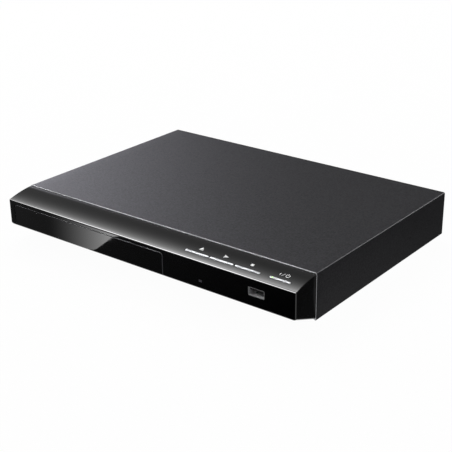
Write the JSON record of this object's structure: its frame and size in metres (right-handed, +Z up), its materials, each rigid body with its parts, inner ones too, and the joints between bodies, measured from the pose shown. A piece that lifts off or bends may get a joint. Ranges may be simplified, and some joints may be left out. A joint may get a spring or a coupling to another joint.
{
  "type": "disc player",
  "caption": "Slim tabletop disc player with a motorised loading tray, sloping front panel, strip buttons, front data port, folded steel cover and a full tray, clamp and pickup mechanism inside.",
  "frame": {"origin": "on the resting surface, under the middle of the unit", "axes": "+X to the right as seen from the front, +Y to the back, +Z up"},
  "size_m": [0.27, 0.207, 0.0385],
  "materials": {
    "cover_paint": "satin powder coat",
    "zinc_sheet": "zinc plated",
    "rear_paint": "satin powder coat",
    "gloss_black": "high gloss black",
    "rubber": "matte",
    "black_zinc": "black zinc",
    "ir_tint": "tinted",
    "light_pipe": "clear green",
    "nickel": "nickel plated",
    "dark_plastic": "moulded",
    "board_green": "solder mask",
    "button_silver": "satin metallised",
    "yellow": "moulded",
    "white": "moulded",
    "red": "moulded",
    "orange": "moulded",
    "brass": "plated",
    "loader_black": "moulded",
    "motor_can": "plated",
    "acetal": "acetal",
    "ground_steel": "ground",
    "die_cast": "die cast",
    "lens_glass": "coated",
    "cap_sleeve": "sleeved",
    "phenolic": "phenolic",
    "yellow_tape": "taped",
    "extrusion": "extruded",
    "ribbon_film": "film"
  },
  "bodies": {
    "chassis": {"top_cover": "cover_paint", "base_pan": "zinc_sheet", "rear_panel": "rear_paint", "front_panel": "gloss_black", "feet": "rubber", "cover_screws": "black_zinc", "ir_window": "ir_tint", "power_light": "light_pipe", "data_port_shell": "nickel", "data_port_tongue": "dark_plastic", "front_board": "board_green", "tact_switches": "dark_plastic", "ir_receiver": "dark_plastic", "phono_block": "dark_plastic", "phono_shells": "nickel", "insert_yellow": "yellow", "insert_white": "white", "insert_red": "red", "insert_orange": "orange", "digital_av_socket": "nickel", "mains_inlet": "dark_plastic", "inlet_pins": "brass", "loader_frame": "loader_black", "clamp_bridge": "zinc_sheet", "loader_screws": "zinc_sheet", "loading_motor": "motor_can", "drive_belt": "rubber", "damper_bushes": "rubber", "main_board": "board_green", "main_chips": "dark_plastic", "main_capacitors": "cap_sleeve", "power_board": "phenolic", "transformer": "yellow_tape", "power_capacitors": "cap_sleeve", "heat_sink": "extrusion", "board_screws": "zinc_sheet", "ribbon_cable": "ribbon_film", "wire_harness": "ribbon_film"},
    "tray": {"disc_tray": "loader_black", "tray_door": "gloss_black"},
    "drive_gear": {"drive_gear": "acetal"},
    "pulley_gear": {"pulley_gear": "acetal"},
    "motor_pulley": {"motor_pulley": "brass"},
    "traverse": {"traverse_frame": "zinc_sheet", "spindle_motor": "motor_can", "guide_rods": "ground_steel", "sled_motor": "motor_can"},
    "cam_slider": {"cam_slider": "acetal"},
    "spindle": {"turntable": "dark_plastic"},
    "clamper": {"clamper": "acetal", "clamper_yoke": "zinc_sheet"},
    "pickup": {"pickup_body": "die_cast"},
    "lens": {"lens_holder": "dark_plastic", "objective_lens": "lens_glass"},
    "sled_gear": {"sled_gear": "acetal"},
    "sled_pinion": {"sled_pinion": "brass"},
    "eject_button": {"eject_button": "button_silver"},
    "play_button": {"play_button": "button_silver"},
    "stop_button": {"stop_button": "button_silver"},
    "power_button": {"power_button": "button_silver"}
  },
  "joints": [
    {"name": "tray_slide", "type": "slide", "parent": "chassis", "child": "tray", "axis": [0, -1, 0], "range_m": [0, 0.135]},
    {"name": "drive_gear_spin", "type": "hinge", "parent": "chassis", "child": "drive_gear", "pos_m": [-0.0088, -0.0645, 0.02], "axis": [0, 0, -1], "range_deg": [-2, 608.3]},
    {"name": "pulley_gear_spin", "type": "hinge", "parent": "chassis", "child": "pulley_gear", "pos_m": [-0.0272, -0.0645, 0.02], "axis": [0, 0, 1], "range_deg": [-4, 1389.2]},
    {"name": "motor_pulley_spin", "type": "hinge", "parent": "chassis", "child": "motor_pulley", "pos_m": [-0.0612, -0.0645, 0.019], "axis": [0, 0, 1], "range_deg": [-16, 5463.7]},
    {"name": "traverse_tilt", "type": "hinge", "parent": "chassis", "child": "traverse", "pos_m": [-0.053, 0.06, 0.015], "axis": [-1, 0, 0], "range_deg": [0, 3.82]},
    {"name": "cam_slide", "type": "slide", "parent": "chassis", "child": "cam_slider", "axis": [1, 0, 0], "range_m": [-0.0002, 0.0182]},
    {"name": "spindle_spin", "type": "hinge", "parent": "traverse", "child": "spindle", "pos_m": [-0.053, -0.03027, 0.01598], "axis": [0, -0.0667, 0.9978], "continuous": true},
    {"name": "clamper_spin", "type": "hinge", "parent": "chassis", "child": "clamper", "pos_m": [-0.053, -0.03, 0.03], "axis": [0, 0, 1], "continuous": true},
    {"name": "pickup_slide", "type": "slide", "parent": "traverse", "child": "pickup", "axis": [0, 0.9978, 0.0667], "range_m": [0, 0.034]},
    {"name": "sled_gear_spin", "type": "hinge", "parent": "traverse", "child": "sled_gear", "pos_m": [-0.0128, 0.02182, 0.01646], "axis": [0, 0.0667, -0.9978], "range_deg": [-4, 467.8]},
    {"name": "sled_pinion_spin", "type": "hinge", "parent": "traverse", "child": "sled_pinion", "pos_m": [-0.0128, 0.03678, 0.01746], "axis": [0, -0.0667, 0.9978], "range_deg": [-8, 1200.7]},
    {"name": "lens_focus", "type": "slide", "parent": "pickup", "child": "lens", "axis": [0, -0.0667, 0.9978], "range_m": [-0.0004, 0.0004], "stiffness_N_per_m": 150},
    {"name": "eject_press", "type": "slide", "parent": "chassis", "child": "eject_button", "axis": [0, 0.2512, -0.9679], "range_m": [0, 0.0006], "stiffness_N_per_m": 400},
    {"name": "play_press", "type": "slide", "parent": "chassis", "child": "play_button", "axis": [0, 0.2512, -0.9679], "range_m": [0, 0.0006], "stiffness_N_per_m": 400},
    {"name": "stop_press", "type": "slide", "parent": "chassis", "child": "stop_button", "axis": [0, 0.2512, -0.9679], "range_m": [0, 0.0006], "stiffness_N_per_m": 400},
    {"name": "power_press", "type": "slide", "parent": "chassis", "child": "power_button", "axis": [0, 0.2512, -0.9679], "range_m": [0, 0.0006], "stiffness_N_per_m": 400}
  ],
  "couplings": [
    {"joint": "drive_gear_spin", "follows": "tray_slide", "rad_per_m": 78.125},
    {"joint": "pulley_gear_spin", "follows": "tray_slide", "rad_per_m": 178.57},
    {"joint": "motor_pulley_spin", "follows": "tray_slide", "rad_per_m": 703.78},
    {"joint": "cam_slide", "follows": "traverse_tilt", "m_per_rad": 0.2698},
    {"joint": "clamper_spin", "follows": "spindle_spin", "ratio": 1},
    {"joint": "sled_gear_spin", "follows": "pickup_slide", "rad_per_m": 238.1},
    {"joint": "sled_pinion_spin", "follows": "pickup_slide", "rad_per_m": 612.24}
  ]
}
